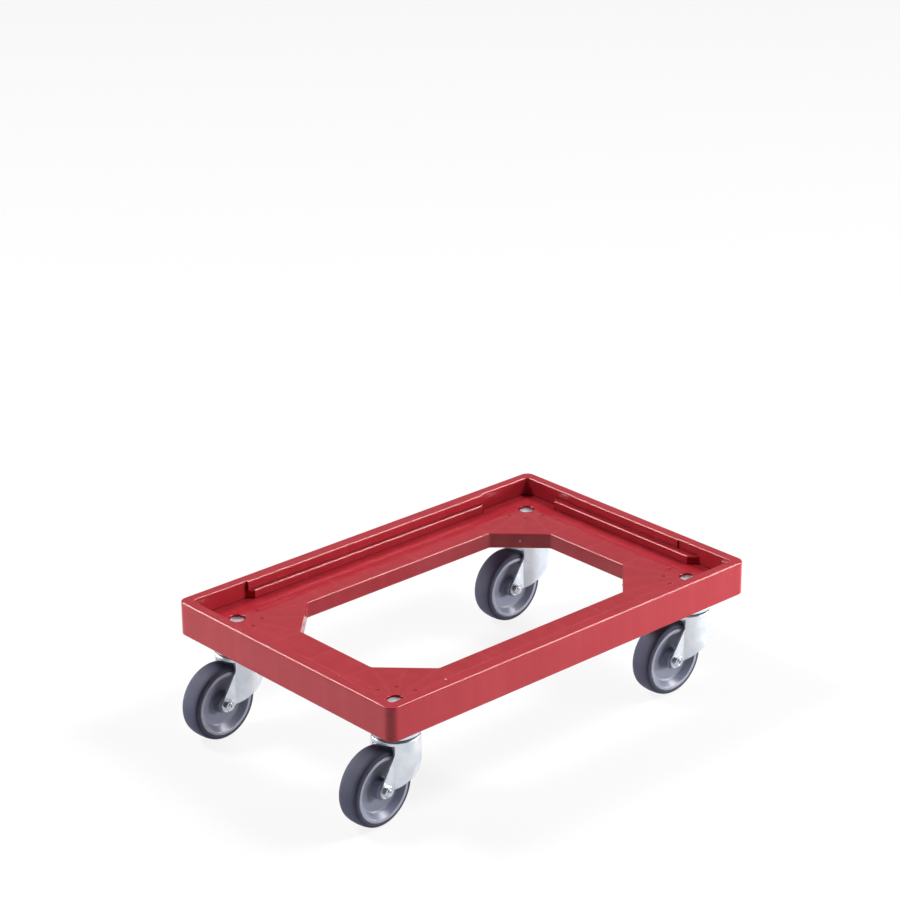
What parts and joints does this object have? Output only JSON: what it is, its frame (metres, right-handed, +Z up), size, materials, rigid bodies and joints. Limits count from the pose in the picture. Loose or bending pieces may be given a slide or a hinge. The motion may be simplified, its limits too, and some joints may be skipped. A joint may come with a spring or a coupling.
{
  "type": "crate dolly",
  "caption": "Low dolly for a stacking crate: moulded rectangular frame with a raised rim and an open centre, on swivel castors bolted through its corners.",
  "frame": {"origin": "on the floor, below the middle of the whole dolly with its castors trailing towards -X; the frame's own centre is 17.1 mm towards +X", "axes": "+X along the frame's long sides, away from the trailing wheels; +Y along its short sides; +Z up"},
  "size_m": [0.6442, 0.41, 0.176],
  "materials": {
    "frame_plastic": "glossy red moulded ABS",
    "zinc_steel": "bright zinc-plated pressed steel",
    "fastener_steel": "zinc-plated steel",
    "ball_steel": "hardened and polished steel, greased",
    "hub_plastic": "grey moulded polypropylene",
    "tyre_rubber": "dark grey non-marking rubber"
  },
  "bodies": {
    "frame": {"dolly_frame": "frame_plastic", "mounting_bolts": "fastener_steel", "mounting_washers": "fastener_steel", "mounting_nuts": "fastener_steel", "front_left_swivel_cup": "zinc_steel", "front_left_lower_cup": "zinc_steel", "front_left_swivel_rivet": "zinc_steel", "rear_left_swivel_cup": "zinc_steel", "rear_left_lower_cup": "zinc_steel", "rear_left_swivel_rivet": "zinc_steel", "rear_right_swivel_cup": "zinc_steel", "rear_right_lower_cup": "zinc_steel", "rear_right_swivel_rivet": "zinc_steel", "front_right_swivel_cup": "zinc_steel", "front_right_lower_cup": "zinc_steel", "front_right_swivel_rivet": "zinc_steel"},
    "front_left_swivel": {"front_left_upper_balls": "ball_steel", "front_left_lower_balls": "ball_steel", "front_left_fork": "zinc_steel", "front_left_axle_bolt": "fastener_steel", "front_left_axle_nut": "fastener_steel", "front_left_axle_sleeve": "fastener_steel"},
    "front_left_wheel": {"front_left_wheel_hub": "hub_plastic", "front_left_tyre": "tyre_rubber"},
    "rear_left_swivel": {"rear_left_upper_balls": "ball_steel", "rear_left_lower_balls": "ball_steel", "rear_left_fork": "zinc_steel", "rear_left_axle_bolt": "fastener_steel", "rear_left_axle_nut": "fastener_steel", "rear_left_axle_sleeve": "fastener_steel"},
    "rear_left_wheel": {"rear_left_wheel_hub": "hub_plastic", "rear_left_tyre": "tyre_rubber"},
    "rear_right_swivel": {"rear_right_upper_balls": "ball_steel", "rear_right_lower_balls": "ball_steel", "rear_right_fork": "zinc_steel", "rear_right_axle_bolt": "fastener_steel", "rear_right_axle_nut": "fastener_steel", "rear_right_axle_sleeve": "fastener_steel"},
    "rear_right_wheel": {"rear_right_wheel_hub": "hub_plastic", "rear_right_tyre": "tyre_rubber"},
    "front_right_swivel": {"front_right_upper_balls": "ball_steel", "front_right_lower_balls": "ball_steel", "front_right_fork": "zinc_steel", "front_right_axle_bolt": "fastener_steel", "front_right_axle_nut": "fastener_steel", "front_right_axle_sleeve": "fastener_steel"},
    "front_right_wheel": {"front_right_wheel_hub": "hub_plastic", "front_right_tyre": "tyre_rubber"}
  },
  "joints": [
    {"name": "front_left_swivel_turn", "type": "hinge", "parent": "frame", "child": "front_left_swivel", "pos_m": [-0.2349, -0.152, 0.1225], "axis": [0, 0, 1], "continuous": true},
    {"name": "front_left_wheel_roll", "type": "hinge", "parent": "front_left_swivel", "child": "front_left_wheel", "pos_m": [-0.27176, -0.15523, 0.05], "axis": [-0.0872, 0.9962, 0], "continuous": true},
    {"name": "rear_left_swivel_turn", "type": "hinge", "parent": "frame", "child": "rear_left_swivel", "pos_m": [-0.2349, 0.152, 0.1225], "axis": [0, 0, 1], "continuous": true},
    {"name": "rear_left_wheel_roll", "type": "hinge", "parent": "rear_left_swivel", "child": "rear_left_wheel", "pos_m": [-0.27183, 0.14974, 0.05], "axis": [-0.061, 0.9981, 0], "continuous": true},
    {"name": "rear_right_swivel_turn", "type": "hinge", "parent": "frame", "child": "rear_right_swivel", "pos_m": [0.2691, 0.152, 0.1225], "axis": [0, 0, 1], "continuous": true},
    {"name": "rear_right_wheel_roll", "type": "hinge", "parent": "rear_right_swivel", "child": "rear_right_wheel", "pos_m": [0.2321, 0.152, 0.05], "axis": [0, 1, 0], "continuous": true},
    {"name": "front_right_swivel_turn", "type": "hinge", "parent": "frame", "child": "front_right_swivel", "pos_m": [0.2691, -0.152, 0.1225], "axis": [0, 0, 1], "continuous": true},
    {"name": "front_right_wheel_roll", "type": "hinge", "parent": "front_right_swivel", "child": "front_right_wheel", "pos_m": [0.23211, -0.15135, 0.05], "axis": [0.0175, 0.9998, 0], "continuous": true}
  ]
}
